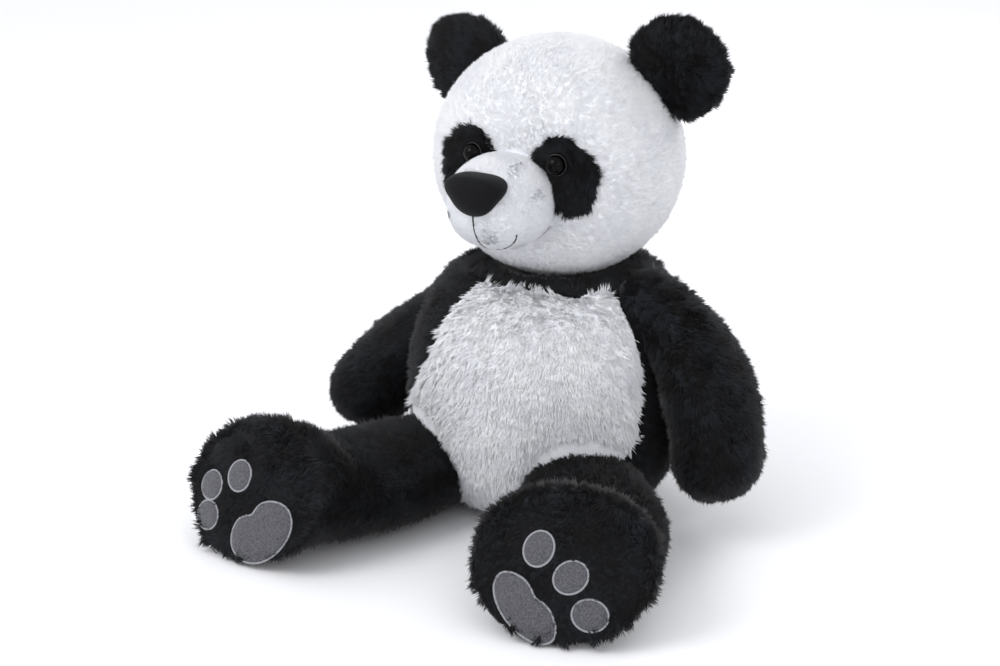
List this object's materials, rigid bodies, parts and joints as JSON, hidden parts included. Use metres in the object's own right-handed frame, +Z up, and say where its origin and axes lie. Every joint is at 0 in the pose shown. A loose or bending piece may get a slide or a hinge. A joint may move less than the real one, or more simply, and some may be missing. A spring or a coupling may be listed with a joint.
{
  "type": "plush panda",
  "caption": "Sitting plush panda with a white head and belly panel, black limbs, stuffed muzzle, moulded eyes and grey appliqué foot pads.",
  "frame": {"origin": "on the floor, under the middle of the seated toy's bounding box", "axes": "+Z up, -Y is the way the panda faces, +X is the panda's own left"},
  "size_m": [0.5773, 0.5312, 0.5714],
  "materials": {
    "black_plush": "long-pile knitted fur, brushed",
    "white_plush": "medium-pile knitted fur, brushed",
    "white_velboa": "short-pile velboa",
    "black_velboa": "short-pile velboa",
    "grey_applique": "short-pile cloth with a satin-stitched edge",
    "black_thread": "embroidery thread",
    "filling": "loose polyester fibre",
    "eye_plastic": "moulded, glossy",
    "washer_plastic": "moulded, matt"
  },
  "bodies": {
    "torso": {"belly_panel": "white_plush", "chest_yoke": "black_plush", "side_panel_left": "black_plush", "side_panel_right": "black_plush", "back_panel_left": "black_plush", "back_panel_right": "black_plush", "seat_panel": "black_plush", "torso_stuffing": "filling"},
    "neck": {"neck_thread": "black_thread"},
    "head": {"head_panel_left": "white_plush", "head_panel_right": "white_plush", "head_stuffing": "filling", "muzzle_panel": "white_velboa", "muzzle_stuffing": "filling", "nose": "black_velboa", "mouth_stitch": "black_thread", "eye_patch_left": "black_plush", "eye_patch_right": "black_plush", "eye_left": "eye_plastic", "eye_right": "eye_plastic", "eye_washer_left": "washer_plastic", "eye_washer_right": "washer_plastic"},
    "ear_left": {"ear_front_left": "black_plush", "ear_back_left": "black_plush", "ear_stuffing_left": "filling"},
    "arm_left": {"arm_outer_left": "black_plush", "arm_inner_left": "black_plush", "arm_stuffing_left": "filling"},
    "leg_left": {"leg_upper_left": "black_plush", "leg_lower_left": "black_plush", "leg_stuffing_left": "filling", "sole_left": "black_plush", "heel_pad_left": "grey_applique", "toe_pads_left": "grey_applique"},
    "ear_right": {"ear_front_right": "black_plush", "ear_back_right": "black_plush", "ear_stuffing_right": "filling"},
    "arm_right": {"arm_outer_right": "black_plush", "arm_inner_right": "black_plush", "arm_stuffing_right": "filling"},
    "leg_right": {"leg_upper_right": "black_plush", "leg_lower_right": "black_plush", "leg_stuffing_right": "filling", "sole_right": "black_plush", "heel_pad_right": "grey_applique", "toe_pads_right": "grey_applique"}
  },
  "joints": [
    {"name": "head_turn", "type": "hinge", "parent": "torso", "child": "neck", "pos_m": [0, 0.121, 0.287], "axis": [0, 0, 1], "range_deg": [-35, 35]},
    {"name": "head_nod", "type": "hinge", "parent": "neck", "child": "head", "pos_m": [0, 0.121, 0.408], "axis": [1, 0, 0], "range_deg": [-12, 12]},
    {"name": "arm_left_swing", "type": "hinge", "parent": "torso", "child": "arm_left", "pos_m": [0.128, 0.099, 0.246], "axis": [-1, 0, 0], "range_deg": [-15, 70], "stiffness_Nm_per_rad": 0.3},
    {"name": "arm_right_swing", "type": "hinge", "parent": "torso", "child": "arm_right", "pos_m": [-0.128, 0.099, 0.246], "axis": [-1, 0, 0], "range_deg": [-15, 70], "stiffness_Nm_per_rad": 0.3},
    {"name": "leg_left_spread", "type": "hinge", "parent": "torso", "child": "leg_left", "pos_m": [0.092, 0.015, 0.068], "axis": [0, 0, 1], "range_deg": [-8, 10]},
    {"name": "leg_right_spread", "type": "hinge", "parent": "torso", "child": "leg_right", "pos_m": [-0.092, 0.015, 0.068], "axis": [0, 0, -1], "range_deg": [-8, 10]},
    {"name": "ear_left_bend", "type": "hinge", "parent": "head", "child": "ear_left", "pos_m": [0.1134, 0.131, 0.4966], "axis": [0.6022, 0.128, -0.788], "range_deg": [-10, 10], "stiffness_Nm_per_rad": 0.2},
    {"name": "ear_right_bend", "type": "hinge", "parent": "head", "child": "ear_right", "pos_m": [-0.1134, 0.131, 0.4966], "axis": [0.6022, -0.128, 0.788], "range_deg": [-10, 10], "stiffness_Nm_per_rad": 0.2}
  ]
}
